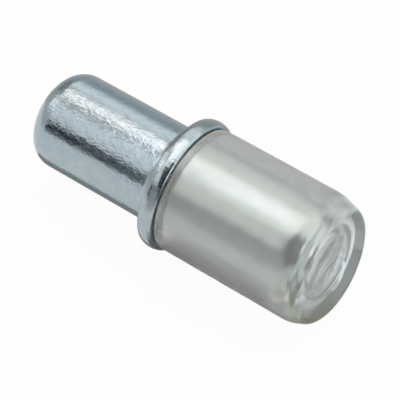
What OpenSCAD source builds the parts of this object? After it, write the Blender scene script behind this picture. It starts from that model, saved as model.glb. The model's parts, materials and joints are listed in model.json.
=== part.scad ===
// Shelf support pin for a drilled cabinet side, with a soft clear sleeve on its shelf end.
// Two physical pieces: a turned steel pin (plug, collar and core in one) and a moulded
// sleeve, closed at one end, that is pushed over the core until it meets the collar.
// The pin's axis is X: the plug points to -X into the panel, the sleeve to +X under the shelf.
// The origin lies on the axis in the plane of the collar's panel face. +Z is up, in mm.

/* [Plug] */
// Diameter of the plug that fits the hole in the cabinet side
plug_d = 5; // [4:0.1:5.6]
// Length of the plug, from the collar's panel face to its tip
plug_l = 8; // [6:0.1:14]
// Radius of the round between the plug's side and its domed tip
tip_round = 1.2; // [0.3:0.05:1.8]
// Radius of the shallow dome across the tip
tip_dome = 3.5; // [3:0.1:12]
// Radius of the fillet where the plug meets the collar
plug_fillet = 0.55; // [0.1:0.05:0.6]

/* [Collar] */
// Diameter of the collar that stops against the cabinet side
collar_d = 6.9; // [6.6:0.1:10]
// Thickness of the collar
collar_t = 0.85; // [0.6:0.05:2]
// How far the middle of the collar's rim stands out beyond its edges
collar_bulge = 0.12; // [0.04:0.01:0.2]
// Radius of the round between the rim and each face of the collar
collar_round = 0.15; // [0.05:0.01:0.25]

/* [Core] */
// Diameter of the core that carries the sleeve
core_d = 5; // [3:0.1:5.4]
// Length of the core, from the collar to its domed end
core_l = 7.55; // [5:0.05:12]
// Radius of the round between the core's side and its domed end
core_round = 1.2; // [0.3:0.05:1.4]
// Radius of the shallow dome across the core's end
core_dome = 8; // [3:0.5:20]

/* [Sleeve] */
// Outer diameter of the sleeve
sleeve_d = 6.45; // [6.1:0.05:8]
// Thickness of the sleeve's closed end, measured on the axis
end_wall = 0.47; // [0.4:0.01:3]
// Radius of the round on the outer edge of the sleeve's open end
lip_round = 0.12; // [0.04:0.02:0.3]
// Radius of the fillet between the bore's side and its floor
floor_fillet = 1.1; // [0.1:0.05:1.2]

/* [Sleeve fit] */
// Radial clearance between the core and the sleeve's bore
bore_clearance = 0.03; // [0.01:0.01:0.1]
// Gap between the collar and the sleeve's open end
seat_gap = 0.04; // [0.01:0.01:0.3]
// Gap between the core's end and the floor of the sleeve's bore
floor_gap = 0.06; // [0.02:0.01:0.5]

/* [Closed end] */
// Lean of the closed end in degrees: its lower edge reaches further out than its upper one
end_lean = 6.4; // [0:0.2:8]
// Slope of the lead-in taper to the axis, in degrees
taper_angle = 18.4; // [12:0.2:30]
// Length of the lead-in taper along the axis
taper_l = 0.96; // [0.3:0.02:1.4]
// Radius of the round between the taper and the end face
end_round = 0.4; // [0.1:0.05:0.7]

/* [Gate mark] */
// Radius of the round gate recess in the end face
gate_r = 0.95; // [0.4:0.05:1.4]
// Depth of the gate recess
gate_depth = 0.12; // [0.04:0.01:0.2]
// Distance of the gate recess below the centre of the end face
gate_drop = 0.6; // [0:0.05:0.8]
// Radius of the stub that the gate leaves in the recess
stub_r = 0.28; // [0.1:0.02:0.35]
// Height of the stub above the floor of the recess
stub_h = 0.05; // [0.01:0.01:0.1]

/* [Hidden] */
$fn = 96;

plug_r = plug_d / 2;
collar_r = collar_d / 2;
core_r = core_d / 2;
sleeve_r = sleeve_d / 2;

// Stations along the axis, measured from the collar's panel face
core_end = collar_t + core_l;
sleeve_start = collar_t + seat_gap;
bore_r = core_r + bore_clearance;
bore_end = core_end + floor_gap;
sleeve_end = bore_end + end_wall;

// The rim's wide arc, half the angle it spans, and the radius of the collar's flat faces
half_t = collar_t / 2;
bulge_r = (pow(half_t, 2) + pow(collar_bulge, 2)) / (2 * collar_bulge);
bulge_centre_r = collar_r - bulge_r;
bulge_angle = asin((half_t - collar_round) / (bulge_r - collar_round));
collar_face_r = bulge_centre_r + (bulge_r - collar_round) * cos(bulge_angle);
// The fillet stays within the collar's panel face
root_fillet = min(plug_fillet, collar_face_r - plug_r);

// The taper's cone: its radius in the plane of the end face, and where it is clear of the sleeve
cone_l = 3 * taper_l;
cone_face_r = sleeve_r - taper_l * tan(taper_angle);
cone_far_r = cone_face_r + cone_l * tan(taper_angle);
// Centre of the end round, and the point where it touches the cone
end_round_r = cone_face_r - end_round * (1 - sin(taper_angle)) / cos(taper_angle);
end_touch_r = end_round_r + end_round * cos(taper_angle);
end_touch_s = -end_round * (1 - sin(taper_angle));

// How far a cutter runs past the surface that it opens
cut_past = 0.5;
// What a round is made larger by, so that it meets the arc it touches without a sliver
hair = 0.0001;
// Reach of the closed end's former, more than enough to hold the whole sleeve
former_r = 2 * sleeve_r;
former_l = sleeve_end + sleeve_r;

steel = [0.74, 0.78, 0.81];
clear_vinyl = [0.80, 0.82, 0.79, 0.55];

// Turns a half section, drawn as (radius, distance along the axis), about the X axis
module turned() {
    rotate([0, 90, 0]) rotate_extrude() children();
}

// A rectangle of the half section, between two radii and two stations
module band(r_in, r_out, s_from, s_to) {
    translate([r_in, s_from]) square([r_out - r_in, s_to - s_from]);
}

// The part of a circle about (r, s) that lies in such a rectangle
module arc_band(r, s, radius, r_in, r_out, s_from, s_to) {
    intersection() {
        translate([r, s]) circle(radius);
        band(r_in, r_out, s_from, s_to);
    }
}

// What a round takes off a convex corner at (r, s). Side +1 or -1 is the way the corner faces.
module corner_waste(r, s, radius, side) {
    difference() {
        translate([r - radius, side > 0 ? s - radius : s - cut_past])
            square([radius + cut_past, radius + cut_past]);
        translate([r - radius, s - side * radius]) circle(radius);
    }
}

// A bar of the half section from s = 0 to its domed end. The round between its side and
// the dome touches both from inside.
module domed_bar(radius, length, round_r, dome_r) {
    dome_s = length - dome_r;
    centre_r = radius - round_r;
    centre_s = dome_s + sqrt(pow(dome_r - round_r, 2) - pow(centre_r, 2));
    touch_r = dome_r * centre_r / (dome_r - round_r);
    band(0, radius, 0, centre_s);
    arc_band(centre_r, centre_s, round_r, centre_r, radius, 0, length);
    arc_band(0, dome_s, dome_r, 0, touch_r, centre_s, length);
}

module plug_section() {
    mirror([0, 1]) domed_bar(plug_r, plug_l, tip_round, tip_dome);
    difference() {
        band(plug_r, plug_r + root_fillet, -root_fillet, 0);
        translate([plug_r + root_fillet, -root_fillet]) circle(root_fillet);
    }
}

// The rim's wide arc touches both small rounds where the lines from its centre through
// their centres reach it
module collar_section() {
    far_r = collar_r + collar_bulge;
    far_half = (far_r - bulge_centre_r) * tan(bulge_angle);
    band(0, collar_face_r, 0, collar_t);
    for (round_s = [collar_round, collar_t - collar_round]) {
        arc_band(collar_face_r, round_s, collar_round + hair, collar_face_r, collar_r, 0, collar_t);
    }
    intersection() {
        translate([bulge_centre_r, half_t]) circle(bulge_r);
        polygon([[collar_face_r, collar_round], [far_r, half_t - far_half],
                 [far_r, half_t + far_half], [collar_face_r, collar_t - collar_round]]);
    }
}

module core_section() {
    translate([0, collar_t]) domed_bar(core_r, core_l, core_round, core_dome);
}

module steel_pin() {
    color(steel) turned() {
        plug_section();
        collar_section();
        core_section();
    }
}

// The straight outside of the sleeve, left long at the closed end
module straight_outside() {
    turned() difference() {
        band(0, sleeve_r, sleeve_start, sleeve_end + sleeve_r);
        corner_waste(sleeve_r, sleeve_start, lip_round, -1);
    }
}

// Places what is drawn about the end face's own centre and normal
module on_end_face() {
    translate([sleeve_end, 0, 0]) rotate([0, -end_lean, 0]) children();
}

// The leaning cone, end round and end face that shape the closed end
module closed_end_former() {
    on_end_face() turned() {
        polygon([[0, -former_l], [former_r, -former_l], [former_r, -cone_l], [cone_far_r, -cone_l],
                 [end_touch_r, end_touch_s], [0, end_touch_s]]);
        band(0, end_round_r, end_touch_s, 0);
        arc_band(end_round_r, -end_round, end_round, end_round_r, end_touch_r, end_touch_s, 0);
    }
}

module bore() {
    turned() difference() {
        band(0, bore_r, sleeve_start - cut_past, bore_end);
        corner_waste(bore_r, bore_end, floor_fillet, 1);
    }
}

module gate_recess() {
    on_end_face() translate([0, 0, -gate_drop]) rotate([0, 90, 0]) difference() {
        translate([0, 0, -gate_depth]) cylinder(r = gate_r, h = gate_depth + cut_past);
        translate([0, 0, -gate_depth]) cylinder(r = stub_r, h = stub_h);
    }
}

module clear_sleeve() {
    color(clear_vinyl) difference() {
        intersection() {
            straight_outside();
            closed_end_former();
        }
        bore();
        gate_recess();
    }
}

steel_pin();
clear_sleeve();
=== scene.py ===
import json
import math

import bpy
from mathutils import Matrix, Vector


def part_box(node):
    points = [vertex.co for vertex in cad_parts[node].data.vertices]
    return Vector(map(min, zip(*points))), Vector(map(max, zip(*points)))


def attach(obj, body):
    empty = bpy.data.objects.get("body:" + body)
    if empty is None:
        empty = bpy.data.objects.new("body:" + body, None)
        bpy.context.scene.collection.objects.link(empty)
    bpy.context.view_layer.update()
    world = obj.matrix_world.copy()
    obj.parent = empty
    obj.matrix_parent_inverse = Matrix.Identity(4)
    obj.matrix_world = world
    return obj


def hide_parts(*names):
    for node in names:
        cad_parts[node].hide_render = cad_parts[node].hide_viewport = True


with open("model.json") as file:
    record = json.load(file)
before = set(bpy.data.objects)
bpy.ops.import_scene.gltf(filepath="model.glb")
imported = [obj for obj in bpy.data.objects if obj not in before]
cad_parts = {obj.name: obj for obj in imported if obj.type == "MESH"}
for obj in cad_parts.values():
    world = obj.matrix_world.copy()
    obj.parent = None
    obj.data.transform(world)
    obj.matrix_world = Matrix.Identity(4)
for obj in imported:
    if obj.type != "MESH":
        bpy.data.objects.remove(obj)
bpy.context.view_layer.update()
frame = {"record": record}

# Shelf support pin: a zinc-plated steel pin whose shelf end carries a soft clear sleeve.
# The pin's axis is X: the plug points to -X, the sleeve to +X, and the shelf lies at +Z.
# Lengths are in metres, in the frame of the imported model. MM makes them from millimetres.

MM = 0.001

# Sizes that the frame gives
pin_low, pin_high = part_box("steel_pin")
mounts = {mount["name"]: mount for mount in frame["record"]["mounts"]}
PLUG_TIP = pin_low.x
CORE_END = pin_high.x
COLLAR_R = pin_high.z
PLUG_R = mounts["plug"]["dims"]["r_mm"] * MM
SLEEVE_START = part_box("clear_sleeve")[0].x
SLEEVE_R = mounts["sleeve"]["dims"]["r_mm"] * MM

# Sizes of the pin that its box doesn't show
TIP_ROUND = 1.2 * MM
TIP_DOME = 3.5 * MM
PLUG_FILLET = 0.55 * MM
COLLAR_T = 0.85 * MM
COLLAR_BULGE = 0.12 * MM
COLLAR_ROUND = 0.15 * MM
CORE_R = PLUG_R
CORE_ROUND = 1.2 * MM
CORE_DOME = 8 * MM
CORE_FILLET = 0.05 * MM

# Sizes of the sleeve
BORE_CLEARANCE = 0.03 * MM
FLOOR_GAP = 0.06 * MM
END_WALL = 0.47 * MM
BORE_R = CORE_R + BORE_CLEARANCE
BORE_END = CORE_END + FLOOR_GAP
SLEEVE_END = BORE_END + END_WALL
LIP_ROUND = 0.12 * MM
BORE_EDGE_ROUND = 0.05 * MM
FLOOR_FILLET = 1.1 * MM
END_LEAN = math.radians(6.4)
TAPER_ANGLE = math.radians(18.4)
TAPER_L = 0.96 * MM
TAPER_EASE = 0.28 * MM
END_ROUND = 0.4 * MM
GATE_R = 0.95 * MM
GATE_DEPTH = 0.12 * MM
GATE_DROP = 0.6 * MM
GATE_EDGE_ROUND = 0.03 * MM
STUB_R = 0.28 * MM
STUB_H = 0.05 * MM

# How finely the surfaces are drawn
COLUMNS = 192
ARC_STEPS = 14
SMALL_ARC_STEPS = 5
# A straight stretch has a point this close to each end, so that its shading stays flat up to it
HOLD = 0.02 * MM
# Its other points lie about this far apart
STRETCH_STEP = 0.5 * MM
# Outline points closer than this follow each other without such a stretch
SHORT_GAP = 0.06 * MM
# Outline points closer than this are one
SAME_POINT = 1e-7
# A smaller radius than this is a point on the axis
ON_AXIS = 1e-9
# Halvings that find the taper's crease
CREASE_STEPS = 50
# Shares of the way across the end face, up the taper and along the straight side, where rings lie
FACE_SHARES = (0.02, 0.25, 0.5, 0.75, 0.98)
TAPER_SHARES = (0.04, 0.35, 0.7)
SIDE_SHARES = (0.02, 0.2, 0.4, 0.6, 0.8, 0.98)

# Colours of the zinc and the vinyl, each from the darker to the paler parts of its mottle
PLUG_ZINC = (0.37, 0.46, 0.505), (0.43, 0.51, 0.545)
COLLAR_ZINC = (0.37, 0.44, 0.465), (0.43, 0.49, 0.51)
# The core's zinc is paler than the plug's: painted light that brightens what the core shows through the
# sleeve
CORE_ZINC_PAINTED_PALE = (0.60, 0.65, 0.63), (0.66, 0.70, 0.68)
CLEAN_VINYL = (0.895, 0.92, 0.905), (0.935, 0.955, 0.945)
# The olive colour is painted shade, laid on the closed end's lower front rim
OLIVE_SHADE_VINYL = (0.86, 0.90, 0.64), (0.90, 0.935, 0.69)

# Where the looks change over, in millimetres: along X unless the name says otherwise
PLUG_TO_COLLAR = (-0.4, 0.1)
COLLAR_TO_CORE = (COLLAR_T / MM, COLLAR_T / MM + 0.1)
DENTS_FADE = (-0.8, -0.2)
DENTED_SIDE_HEIGHT = (2.1, 2.42)
END_GLOSS = (7.9, 8.7)
# Where the painted olive shade lies on the closed end's rim
PAINTED_RIM_SHADE_END = (8.6, 8.85)
PAINTED_RIM_SHADE_RADIUS = (2.2, 2.6)
# The dented side of the plug: its angle from +Z towards -Y
DENTED_SIDE = math.radians(24)
# The direction of the rim's painted olive shade: down and to the front
PAINTED_RIM_SHADE_SIDE = (0, -0.71, -0.71)

# Camera: where it looks, and from which side
TARGET = Vector((1.24, 0.04, -0.59)) * MM
CAMERA_AZIMUTH = math.radians(36.31)
CAMERA_ELEVATION = math.radians(50.15)
CAMERA_DISTANCE = 100 * MM
CAMERA_LENS = 187.2
CAMERA_SENSOR = 36.0
CAMERA_NEAR = 1 * MM
CAMERA_FAR = 10.0

# Surroundings
FLOOR_SIZE = 800 * MM
FLOOR_Z = -COLLAR_R - 0.02 * MM
FLOOR_CARD_Z = -COLLAR_R - 0.01 * MM
FLOOR_GREY = 0.9
FLOOR_SEEN_WHITE = 0.96
FLOOR_MIRRORED_WHITE = 0.7
SOFT_LIGHT = 0.85
LAMP_DISTANCE = 140 * MM
CARD_DISTANCE = 126 * MM
NEAR_DISTANCE = 30 * MM
CORE_FLAG_DISTANCE = 15 * MM
CAMERA_FLAG_SIZE = 90 * MM
CAMERA_FLAG_DISTANCE = 0.9 * CAMERA_DISTANCE

# Tints of lamps and cards
WHITE = (1, 1, 1)
COOL = (0.94, 1.0, 1.04)
WINDOW_TINT = (0.93, 1.0, 1.04)
SHADE_TINT = (0.96, 1.0, 1.0)


# ---------------------------------------------------------------- outlines

def arc(station, radius, arc_radius, first, last, steps=ARC_STEPS):
    """Points of an arc about (station, radius). Angles are in degrees from +X towards the outside."""
    angles = (math.radians(first + (last - first) * i / steps) for i in range(steps + 1))
    return [(station + arc_radius * math.cos(a), radius + arc_radius * math.sin(a)) for a in angles]


def straight(start, end):
    """Points inside a straight stretch."""
    length = math.dist(start, end)
    steps = max(1, round(length / STRETCH_STEP))
    shares = [HOLD / length] + [i / steps for i in range(1, steps)] + [1 - HOLD / length]
    return [tuple(a + (b - a) * share for a, b in zip(start, end)) for share in shares]


def joined(*stretches):
    """One outline from arcs and corners, with straight stretches between them."""
    points = list(stretches[0])
    for stretch in stretches[1:]:
        if math.dist(points[-1], stretch[0]) > SHORT_GAP:
            points += straight(points[-1], stretch[0])
        points += [p for p in stretch if math.dist(p, points[-1]) > SAME_POINT]
    return points


def pin_outline():
    """(station, radius) from the tip's centre over plug, collar and core to the core's end."""
    return joined(
        *plug_tip(),
        arc(-PLUG_FILLET, PLUG_R + PLUG_FILLET, PLUG_FILLET, -90, 0),
        collar_rim(),
        arc(COLLAR_T + CORE_FILLET, CORE_R + CORE_FILLET, CORE_FILLET, 180, 270),
        *core_tip(),
    )


def plug_tip():
    """The plug's domed end: a shallow dome, and a round that touches it and the plug's side."""
    dome_s = PLUG_TIP + TIP_DOME
    round_r = PLUG_R - TIP_ROUND
    touch = math.degrees(math.asin(round_r / (TIP_DOME - TIP_ROUND)))
    round_s = dome_s - math.sqrt((TIP_DOME - TIP_ROUND) ** 2 - round_r ** 2)
    return (arc(dome_s, 0, TIP_DOME, 180, 180 - touch),
            arc(round_s, round_r, TIP_ROUND, 180 - touch, 90, 2 * ARC_STEPS))


def collar_rim():
    """The collar's bulging rim: one wide arc with a small round at each face."""
    half = COLLAR_T / 2
    bulge_r = (half ** 2 + COLLAR_BULGE ** 2) / (2 * COLLAR_BULGE)
    centre = COLLAR_R - bulge_r
    lean = math.asin((half - COLLAR_ROUND) / (bulge_r - COLLAR_ROUND))
    edge_r = centre + (bulge_r - COLLAR_ROUND) * math.cos(lean)
    turn = math.degrees(lean)
    return (arc(COLLAR_ROUND, edge_r, COLLAR_ROUND, 180, 90 + turn)
            + arc(half, centre, bulge_r, 90 + turn, 90 - turn)[1:]
            + arc(COLLAR_T - COLLAR_ROUND, edge_r, COLLAR_ROUND, 90 - turn, 0)[1:])


def core_tip():
    """The core's domed end: a round that touches its side and a shallow dome."""
    dome_s = CORE_END - CORE_DOME
    round_r = CORE_R - CORE_ROUND
    touch = math.degrees(math.asin(round_r / (CORE_DOME - CORE_ROUND)))
    round_s = dome_s + math.sqrt((CORE_DOME - CORE_ROUND) ** 2 - round_r ** 2)
    return (arc(round_s, round_r, CORE_ROUND, 90, touch, 2 * ARC_STEPS),
            arc(dome_s, 0, CORE_DOME, touch, 0))


def lip_outline():
    """(station, radius) of the sleeve's open end, from its straight outside to its bore's floor."""
    return joined(
        arc(SLEEVE_START + LIP_ROUND, SLEEVE_R - LIP_ROUND, LIP_ROUND, 90, 180),
        arc(SLEEVE_START + BORE_EDGE_ROUND, BORE_R + BORE_EDGE_ROUND, BORE_EDGE_ROUND, 180, 270),
        arc(BORE_END - FLOOR_FILLET, BORE_R - FLOOR_FILLET, FLOOR_FILLET, 90, 0),
        [(BORE_END, 0)],
    )


def gate_outline():
    """(height over the end face, radius) of the gate recess, from its centre to its edge."""
    floor = -GATE_DEPTH
    edge = GATE_EDGE_ROUND
    return joined(
        [(floor + STUB_H, 0)],
        arc(floor + STUB_H - edge, STUB_R - edge, edge, 0, 90, SMALL_ARC_STEPS),
        [(floor, STUB_R)],
        arc(floor + edge, GATE_R - edge, edge, 180, 90, SMALL_ARC_STEPS),
        arc(-edge, GATE_R + edge, edge, 270, 360, SMALL_ARC_STEPS),
    )


# ---------------------------------------------------------------- meshes

def even_angles():
    """Angles of the columns about the pin's axis."""
    return [2 * math.pi * column / COLUMNS for column in range(COLUMNS)]


def ring(station, radius, angles):
    """Points at one station and radius, at the columns' angles about the X axis."""
    return [Vector((station, radius * math.cos(a), radius * math.sin(a))) for a in angles]


def turned_rings(outline, angles):
    """Rings for an outline of (station, radius) points. A point on the axis becomes a pole."""
    return [ring(s, r, angles) if r > ON_AXIS else [Vector((s, 0, 0))] for s, r in outline]


def between(first, last, shares):
    """Rings at the shares of the way from one ring to another."""
    return [[start.lerp(end, share) for start, end in zip(first, last)] for share in shares]


def skin(name, rings):
    """A closed surface through rings of points. A ring of one point is a pole."""
    vertices = [point for points in rings for point in points]
    faces = []
    start = 0
    for here, after in zip(rings, rings[1:]):
        following = start + len(here)
        for i in range(COLUMNS):
            j = (i + 1) % COLUMNS
            if len(here) == 1:
                faces.append((start, following + i, following + j))
            elif len(after) == 1:
                faces.append((start + j, start + i, following))
            else:
                faces.append((start + i, following + i, following + j, start + j))
        start = following
    mesh = bpy.data.meshes.new(name)
    mesh.from_pydata(vertices, [], faces)
    mesh.validate()
    mesh.shade_smooth()
    piece = bpy.data.objects.new(name, mesh)
    bpy.context.scene.collection.objects.link(piece)
    return piece


def make_pin():
    return skin("zinc_plated_pin", turned_rings(pin_outline(), even_angles()))


def on_end_face(height, radius, angle, drop=0.0):
    """A point given about the leaning end face: height along its normal, radius and angle in it."""
    along = Vector((math.cos(END_LEAN), 0, math.sin(END_LEAN)))
    up = Vector((-math.sin(END_LEAN), 0, math.cos(END_LEAN)))
    side = Vector((0, 1, 0))
    centre = Vector((SLEEVE_END, 0, 0)) - drop * up
    return centre + height * along + radius * (math.cos(angle) * side + math.sin(angle) * up)


def crease_point(angle, face_r):
    """Where one line of the leaning taper meets the sleeve's straight outside."""
    near, far = 0.0, -3 * TAPER_L
    for _ in range(CREASE_STEPS):
        middle = (near + far) / 2
        point = on_end_face(middle, face_r - middle * math.tan(TAPER_ANGLE), angle)
        if math.hypot(point.y, point.z) < SLEEVE_R:
            near = middle
        else:
            far = middle
    return point


def gate_rings(angles):
    """The gate recess in the leaning end face, from its centre to its edge."""
    rings = []
    for height, radius in gate_outline():
        at = angles if radius > ON_AXIS else [0]
        rings.append([on_end_face(height, radius, a, GATE_DROP) for a in at])
    return rings


def end_round_rings(angles, face_r):
    """The round from the flat end face to the taper."""
    flat_r = face_r - END_ROUND * (1 - math.sin(TAPER_ANGLE)) / math.cos(TAPER_ANGLE)
    outline = arc(-END_ROUND, flat_r, END_ROUND, 0, 90 - math.degrees(TAPER_ANGLE))
    return [[on_end_face(height, radius, a) for a in angles] for height, radius in outline]


def crease_rings(eased, creases):
    """The eased crease: a curve from each eased point past the crease to the straight outside."""
    back = Vector((-TAPER_EASE, 0, 0))
    rings = []
    for i in range(ARC_STEPS + 1):
        t = i / ARC_STEPS
        rings.append([(1 - t) ** 2 * start + 2 * t * (1 - t) * crease + t ** 2 * (crease + back)
                      for start, crease in zip(eased, creases)])
    return rings


def make_sleeve():
    angles = even_angles()
    face_r = SLEEVE_R - TAPER_L * math.tan(TAPER_ANGLE)
    gate = gate_rings(angles)
    end_round = end_round_rings(angles, face_r)
    touch = end_round[-1]
    creases = [crease_point(a, face_r) for a in angles]
    eased = [crease + (start - crease).normalized() * TAPER_EASE for start, crease in zip(touch, creases)]
    crease = crease_rings(eased, creases)
    lip = turned_rings(lip_outline(), [math.atan2(point.z, point.y) for point in creases])
    return skin("clear_vinyl_sleeve", [
        *gate, *between(gate[-1], end_round[0], FACE_SHARES),
        *end_round, *between(touch, eased, TAPER_SHARES),
        *crease, *between(crease[-1], lip[0], SIDE_SHARES),
        *lip,
    ])


# ---------------------------------------------------------------- materials

class Shader:
    """A material's node tree with short ways to add and link nodes."""

    def __init__(self, name):
        self.material = bpy.data.materials.new(name)
        self.material.use_nodes = True
        self.tree = self.material.node_tree
        self.tree.nodes.clear()
        self.output = self.tree.nodes.new("ShaderNodeOutputMaterial")

    def node(self, kind, inputs=None, **settings):
        made = self.tree.nodes.new("ShaderNode" + kind)
        for key, value in settings.items():
            setattr(made, key, value)
        for key, value in (inputs or {}).items():
            self.feed(made.inputs[key], value)
        return made

    def feed(self, socket, value):
        if isinstance(value, bpy.types.NodeSocket):
            self.tree.links.new(value, socket)
        else:
            socket.default_value = value

    def millimetres(self, scale=(1, 1, 1)):
        """Object coordinates in millimetres, stretched by scale."""
        place = self.node("TexCoord").outputs["Object"]
        factor = tuple(s / MM for s in scale)
        return self.node("Mapping", {"Vector": place, "Scale": factor}).outputs["Vector"]

    def along_axis(self, place):
        return self.node("SeparateXYZ", {"Vector": place}).outputs["X"]

    def noise(self, vector, scale, detail, roughness, distortion=0.0):
        return self.node("TexNoise", {"Vector": vector, "Scale": scale, "Detail": detail,
                                      "Roughness": roughness, "Distortion": distortion}).outputs["Fac"]

    def shades(self, factor, ends, span):
        """From the first colour or grey to the second, as factor goes over span."""
        made = self.node("ValToRGB", {"Fac": factor})
        for element, position, shade in zip(made.color_ramp.elements, span, ends):
            element.position = position
            element.color = (*shade, 1) if isinstance(shade, tuple) else (shade, shade, shade, 1)
        return made.outputs["Color"]

    def fade(self, value, span, low=0.0, high=1.0):
        """From low to high as value goes over span."""
        return self.node("MapRange", {"Value": value, "From Min": span[0], "From Max": span[1],
                                      "To Min": low, "To Max": high}).outputs["Result"]

    def mixed(self, share, first, second):
        return self.node("MixRGB", {"Fac": share, "Color1": first, "Color2": second}).outputs["Color"]

    def product(self, first, second):
        return self.node("Math", {0: first, 1: second}, operation="MULTIPLY").outputs[0]


def zinc_material():
    """Bright zinc plating: bluish, finely mottled, with short soft scuffs and fine dents, and painted paler
    on the core inside the sleeve.
    """
    s = Shader("zinc_plating")
    place = s.millimetres()
    x = s.along_axis(place)
    mottle = s.noise(place, scale=2.2, detail=4.0, roughness=0.6, distortion=0.6)
    mottle_span = (0.32, 0.68)
    # The core takes the paler zinc, a painted brightening of its highlight seen through the sleeve
    plug, collar, core = (s.shades(mottle, ends, mottle_span) for ends in (PLUG_ZINC, COLLAR_ZINC, CORE_ZINC_PAINTED_PALE))
    bare = s.mixed(s.fade(x, PLUG_TO_COLLAR), plug, collar)
    colour = s.mixed(s.fade(x, COLLAR_TO_CORE), bare, core)
    scuffs = s.noise(s.millimetres((0.45, 1.3, 1.3)), scale=2.6, detail=4.0, roughness=0.62, distortion=1.2)
    roughness = s.shades(scuffs, (0.13, 0.27), (0.3, 0.7))
    grain = s.noise(place, scale=14.0, detail=3.0, roughness=0.6)
    fine = s.node("Bump", {"Height": grain, "Strength": 0.25, "Distance": 0.004 * MM})
    dents = s.noise(s.millimetres((0.65, 1, 1)), scale=5.0, detail=2.0, roughness=0.6, distortion=0.2)
    bump = s.node("Bump", {"Height": dents, "Strength": dented_share(s, place), "Distance": 0.03 * MM,
                           "Normal": fine.outputs["Normal"]})
    surface = s.node("BsdfPrincipled", {"Base Color": colour, "Metallic": 1.0, "Roughness": roughness,
                                        "Normal": bump.outputs["Normal"]})
    s.feed(s.output.inputs["Surface"], surface.outputs["BSDF"])
    return s.material


def dented_share(s, place):
    """How dented the plating is: most along one side of the plug, less on its other sides and beyond it."""
    turned = s.node("Mapping", {"Vector": place, "Rotation": (-DENTED_SIDE, 0, 0)}).outputs["Vector"]
    parts = s.node("SeparateXYZ", {"Vector": turned})
    side = s.fade(parts.outputs["Z"], DENTED_SIDE_HEIGHT, low=0.32)
    plug = s.fade(parts.outputs["X"], DENTS_FADE, low=1.0, high=0.45)
    return s.product(side, plug)


def painted_rim_shade_share(s, place):
    """Where olive shade is painted onto the closed end's rim: its lower front edge."""
    edge = s.node("VectorMath", {0: place, 1: PAINTED_RIM_SHADE_SIDE}, operation="DOT_PRODUCT").outputs["Value"]
    return s.product(s.fade(edge, PAINTED_RIM_SHADE_RADIUS), s.fade(s.along_axis(place), PAINTED_RIM_SHADE_END))


def vinyl_material():
    """Clear soft vinyl, hazy but for its glossy closed end, faintly grey-green where it is thick, with
    painted olive shade on the closed end's lower front rim.
    """
    s = Shader("clear_vinyl")
    place = s.millimetres()
    haze = s.noise(place, scale=1.1, detail=3.0, roughness=0.55)
    haze_span = (0.3, 0.7)
    gloss = s.fade(s.along_axis(place), END_GLOSS, low=1.0, high=0.62)
    roughness = s.product(s.shades(haze, (0.16, 0.24), haze_span), gloss)
    clean = s.shades(haze, CLEAN_VINYL, haze_span)
    painted_rim_shade = s.shades(haze, OLIVE_SHADE_VINYL, haze_span)
    # Painted olive shade on the closed end's lower front rim
    colour = s.mixed(painted_rim_shade_share(s, place), clean, painted_rim_shade)
    waves = s.noise(place, scale=0.55, detail=2.0, roughness=0.5)
    bump = s.node("Bump", {"Height": waves, "Strength": 0.35, "Distance": 0.05 * MM})
    surface = s.node("BsdfPrincipled", {"Base Color": colour, "Metallic": 0.0, "Roughness": roughness,
                                        "IOR": 1.53, "Transmission Weight": 0.88,
                                        "Normal": bump.outputs["Normal"]})
    absorb = s.node("VolumeAbsorption", {"Color": (0.60, 0.66, 0.56, 1), "Density": 100.0})
    s.feed(s.output.inputs["Surface"], surface.outputs["BSDF"])
    s.feed(s.output.inputs["Volume"], absorb.outputs["Volume"])
    return s.material


def floor_material():
    """A white floor that keeps a soft shadow: part of what is seen or mirrored of it is plain white."""
    s = Shader("white_floor")
    rays = s.node("LightPath")
    seen = s.product(rays.outputs["Is Camera Ray"], FLOOR_SEEN_WHITE)
    mirrored = s.node("Math", {0: rays.outputs["Is Glossy Ray"], 1: rays.outputs["Is Transmission Ray"]},
                      operation="MAXIMUM")
    part = s.node("Math", {0: mirrored.outputs[0], 1: FLOOR_MIRRORED_WHITE, 2: seen},
                  operation="MULTIPLY_ADD")
    matt = s.node("BsdfDiffuse", {"Color": (FLOOR_GREY, FLOOR_GREY, FLOOR_GREY, 1)})
    white = s.node("Emission", {"Color": (*WHITE, 1), "Strength": 1.0})
    mixed = s.node("MixShader", {0: part.outputs[0], 1: matt.outputs[0], 2: white.outputs[0]})
    s.feed(s.output.inputs["Surface"], mixed.outputs[0])
    return s.material


def card_material(name, tone, colour):
    """A studio card or flag of one even tone."""
    s = Shader(name)
    even = s.node("Emission", {"Color": (*colour, 1), "Strength": tone})
    s.feed(s.output.inputs["Surface"], even.outputs[0])
    return s.material


# ---------------------------------------------------------------- studio
# Angles of lamps and cards are in degrees about the X axis, from +Z towards -Y. Their reach is from
# one X to another, in millimetres, and so are the corners of wall and floor cards. A tone is a
# radiance, where 1 is as bright as plain white.

def panel(name, width, height, material):
    """A flat stage panel about its own origin, facing +Z."""
    x, y = width / 2, height / 2
    mesh = bpy.data.meshes.new(name)
    mesh.from_pydata([(-x, -y, 0), (x, -y, 0), (x, y, 0), (-x, y, 0)], [], [(0, 1, 2, 3)])
    mesh.materials.append(material)
    made = bpy.data.objects.new(name, mesh)
    bpy.context.scene.collection.objects.link(made)
    return made


def mirrored_panel(name, width, height, tone, colour=WHITE):
    """A panel that only reflections and refractions see, and that takes no light away."""
    made = panel(name, width, height, card_material(name, tone, colour))
    made.visible_camera = False
    made.visible_diffuse = False
    made.visible_shadow = False
    return made


def aim(thing, angles, reach, distance):
    """Puts a lamp or panel, long side along X, in the middle of its angles and reach, facing the axis."""
    tilt = math.radians(sum(angles) / 2)
    thing.location = (sum(reach) / 2 * MM, -distance * math.sin(tilt), distance * math.cos(tilt))
    thing.rotation_euler = (tilt, 0, 0)


def strip_size(angles, reach, distance):
    """Length and width of a strip that fills its reach and its angles."""
    return (reach[1] - reach[0]) * MM, 2 * distance * math.tan(math.radians(angles[1] - angles[0]) / 2)


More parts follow.
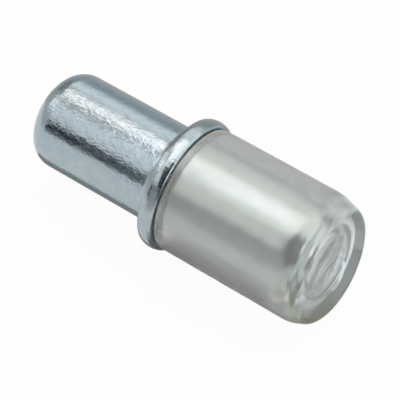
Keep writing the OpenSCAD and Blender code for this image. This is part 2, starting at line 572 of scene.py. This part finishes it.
def softbox(name, angles, tone, colour=WHITE, reach=(-130, 150)):
    """A strip lamp along X."""
    lamp = bpy.data.lights.new(name, "AREA")
    lamp.shape = "RECTANGLE"
    lamp.size, lamp.size_y = strip_size(angles, reach, LAMP_DISTANCE)
    lamp.energy = tone * math.pi * lamp.size * lamp.size_y
    lamp.color = colour
    made = bpy.data.objects.new(name, lamp)
    bpy.context.scene.collection.objects.link(made)
    made.visible_camera = False
    aim(made, angles, reach, LAMP_DISTANCE)


def card(name, angles, reach, tone, colour=WHITE, distance=CARD_DISTANCE):
    """A card along X, of one tone."""
    made = mirrored_panel(name, *strip_size(angles, reach, distance), tone, colour)
    aim(made, angles, reach, distance)


def wall_card(name, x, y, z, tone):
    """An upright card across the X axis, between two values of Y and of Z."""
    made = mirrored_panel(name, (z[1] - z[0]) * MM, (y[1] - y[0]) * MM, tone)
    made.location = (x * MM, sum(y) / 2 * MM, sum(z) / 2 * MM)
    made.rotation_euler = (0, math.radians(-90 if x > 0 else 90), 0)


def floor_card(name, low, high, tone, colour=WHITE, z=FLOOR_CARD_Z):
    """A card that lies just above the floor, between two corners (x, y)."""
    made = mirrored_panel(name, (high[0] - low[0]) * MM, (high[1] - low[1]) * MM, tone, colour)
    made.location = ((low[0] + high[0]) / 2 * MM, (low[1] + high[1]) / 2 * MM, z)


def make_floor():
    floor = panel("floor", FLOOR_SIZE, FLOOR_SIZE, floor_material())
    floor.location = (0, 0, FLOOR_Z)


def make_world():
    """White to what the camera, metal and clear parts see, and a softer light on everything else."""
    world = bpy.data.worlds.new("studio")
    bpy.context.scene.world = world
    world.use_nodes = True
    tree = world.node_tree
    tree.nodes.clear()
    rays = tree.nodes.new("ShaderNodeLightPath")
    glossy = tree.nodes.new("ShaderNodeMath")
    glossy.operation = "MAXIMUM"
    seen = tree.nodes.new("ShaderNodeMath")
    seen.operation = "MAXIMUM"
    soft = tree.nodes.new("ShaderNodeBackground")
    white = tree.nodes.new("ShaderNodeBackground")
    mix = tree.nodes.new("ShaderNodeMixShader")
    out = tree.nodes.new("ShaderNodeOutputWorld")
    soft.inputs["Strength"].default_value = SOFT_LIGHT
    white.inputs["Color"].default_value = (*WHITE, 1)
    white.inputs["Strength"].default_value = 1.0
    tree.links.new(rays.outputs["Is Glossy Ray"], glossy.inputs[0])
    tree.links.new(rays.outputs["Is Transmission Ray"], glossy.inputs[1])
    tree.links.new(glossy.outputs[0], seen.inputs[0])
    tree.links.new(rays.outputs["Is Camera Ray"], seen.inputs[1])
    tree.links.new(seen.outputs[0], mix.inputs["Fac"])
    tree.links.new(soft.outputs[0], mix.inputs[1])
    tree.links.new(white.outputs[0], mix.inputs[2])
    tree.links.new(mix.outputs[0], out.inputs["Surface"])


def make_softboxes():
    softbox("strip_softbox", (-28, -6), tone=1.05, colour=(1.25, 0.98, 0.86))
    softbox("rear_softbox", (-56, -40), tone=0.25)
    softbox("front_softbox", (8, 44), tone=0.12, colour=(1.2, 1.0, 0.95))


def make_near_cards():
    """Cards close to the pin, whose edges show as bands on the collar and on the core in its sleeve."""
    near = NEAR_DISTANCE
    over_top = (-20, 12)
    along_sleeve = (-12.5, 16)
    card("sleeve_top_card", over_top, (-11, -2.5), 2.4, (1.02, 0.99, 1.05), near)
    card("collar_top_card", over_top, (-2.5, 10), 2.0, (1.04, 0.99, 0.97), near)
    card("core_top_card", over_top, (10, 25), 1.35, distance=near)
    card("sleeve_top_edge_card", (12, 24), (-12, 7), 1.55, distance=near)
    card("sleeve_rear_edge_card", (-30, -20), (-10.5, 20), 1.8, distance=near)
    card("sleeve_front_card", (60, 84), along_sleeve, 0.46, (0.95, 1.0, 1.06), near)
    card("sleeve_low_card", (84, 96), along_sleeve, 0.6, (0.97, 1.0, 1.03), near)
    card("core_flag", (27, 62), (4.8, 24), 0.045, (0.5, 1.1, 1.6), CORE_FLAG_DISTANCE)


def make_far_cards():
    """Cards and dark flags further out, which metal and sleeve mirror as bands."""
    whole = (-135, 165)
    plug_side = (-160, -30)
    rear = (-104, -66)
    card("front_gap_flag", (9, 14), plug_side, 0.35)
    card("front_gap_card", (18, 22), plug_side, 1.5)
    card("front_flag", (57, 84), (-102.5, 164.5), 0.04, (0.85, 1.0, 1.1))
    card("glint_card", (-2, 33), (-135, -88), 2.2)
    card("dip_flag", (-1, 4), whole, 0.35)
    card("gap_flag", (-36, -30), whole, 0.7)
    card("rear_card", rear, (-135, 25), 0.5, (0.88, 0.98, 1.0))
    card("rear_side_card", rear, (25, 165), 0.72, COOL)
    card("front_side_flag", (48, 92), (4.5, 199.5), 0.05)


def make_wall_cards():
    """Upright cards beyond the plug's tip and beyond the sleeve's closed end."""
    wall_card("end_card", -150, (-150, 150), (-30, 270), 0.6)
    wall_card("end_high_card", -147, (-50.5, 14.5), (57.5, 122.5), 1.5)
    wall_card("rear_end_card", -148, (44.5, 199.5), (-3.5, 111.5), 0.33)
    wall_card("end_side_card", 110, (-30, 150), (0, 150), 1.5)
    wall_card("end_front_side_card", 104, (-29, 5), (5, 41), 2.4)
    wall_card("end_high_flag", 104, (-34, -4), (41, 99), 0.15)
    wall_card("end_side_flag", 105, (-112, -30), (-3, 75), 0.1)


def make_floor_cards():
    """Cards and shades on the floor, which the metal mirrors and the clear end refracts."""
    floor_card("rear_floor_card", (-135, 3), (5, 153), 0.55, z=-COLLAR_R)
    floor_card("rear_side_floor_card", (5, 5.4), (165, 153), 0.74, COOL)
    floor_card("front_floor_flag", (20, -12), (34, -4.5), 0.04)
    floor_card("front_floor_far_flag", (34, -70), (100, -12), 0.04)
    # Under the plug and the sleeve
    floor_card("plug_shade", (-9, -3.4), (0.2, 6), 0.3)
    floor_card("sleeve_shade", (0.2, -4.4), (6.2, -1.3), 0.2)
    floor_card("sleeve_half_shade", (0.2, -6), (6.2, -4.4), 0.5)
    floor_card("under_end_card", (2.5, -1.2), (6.2, 5.4), 1.5, (0.88, 1.0, 1.12))
    # Around the closed end: shades for its lower parts and its rim, pale cards for its middle
    floor_card("end_half_shade", (6.2, -5.4), (9.8, -3.4), 0.58)
    floor_card("end_low_shade", (6.2, -3.4), (9.6, -2.0), 0.24, SHADE_TINT)
    floor_card("end_shade", (6.2, -2.0), (9.6, 0.6), 0.32, SHADE_TINT)
    floor_card("rim_low_shade", (9.6, -2.6), (10.5, 2.4), 0.3, (1.1, 1.05, 0.7))
    floor_card("rim_side_shade", (9.8, 2.4), (11.2, 4.3), 0.35)
    floor_card("window_low_card", (6.2, 0.6), (9.6, 1.8), 0.6, WINDOW_TINT)
    floor_card("window_card", (6.2, 1.8), (9.6, 5.4), 1.0, WINDOW_TINT)
    floor_card("end_front_card", (10.9, -3.6), (20, 1), 1.2, (0.92, 1.0, 1.08))


def camera_back():
    """Unit vector from the target towards the camera."""
    flat = math.cos(CAMERA_ELEVATION)
    return Vector((math.sin(CAMERA_AZIMUTH) * flat, -math.cos(CAMERA_AZIMUTH) * flat,
                   math.sin(CAMERA_ELEVATION)))


def face_pin(thing, place):
    """Puts a camera or panel at a place on the camera's side, looking along the camera's line of sight."""
    thing.location = place
    thing.rotation_mode = "QUATERNION"
    thing.rotation_quaternion = (-camera_back()).to_track_quat("-Z", "Y")


def make_camera_flag():
    """The dark front of the camera, as the metal mirrors it."""
    flag = mirrored_panel("camera_flag", CAMERA_FLAG_SIZE, CAMERA_FLAG_SIZE, 0.08)
    face_pin(flag, CAMERA_FLAG_DISTANCE * camera_back())


def make_camera():
    data = bpy.data.cameras.new("camera")
    data.lens = CAMERA_LENS
    data.sensor_width = CAMERA_SENSOR
    data.clip_start = CAMERA_NEAR
    data.clip_end = CAMERA_FAR
    camera = bpy.data.objects.new("camera", data)
    bpy.context.scene.collection.objects.link(camera)
    face_pin(camera, TARGET + CAMERA_DISTANCE * camera_back())
    bpy.context.scene.camera = camera


# ---------------------------------------------------------------- the object

def dress(piece, node, material):
    """Gives a piece its material and lets it stand for a node of the frame."""
    piece.data.materials.append(material)
    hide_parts(node)
    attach(piece, "root")


make_camera()
dress(make_pin(), "steel_pin", zinc_material())
dress(make_sleeve(), "clear_sleeve", vinyl_material())
make_floor()
make_world()
make_softboxes()
make_near_cards()
make_far_cards()
make_wall_cards()
make_floor_cards()
make_camera_flag()
bpy.context.scene.view_settings.view_transform = "Standard"
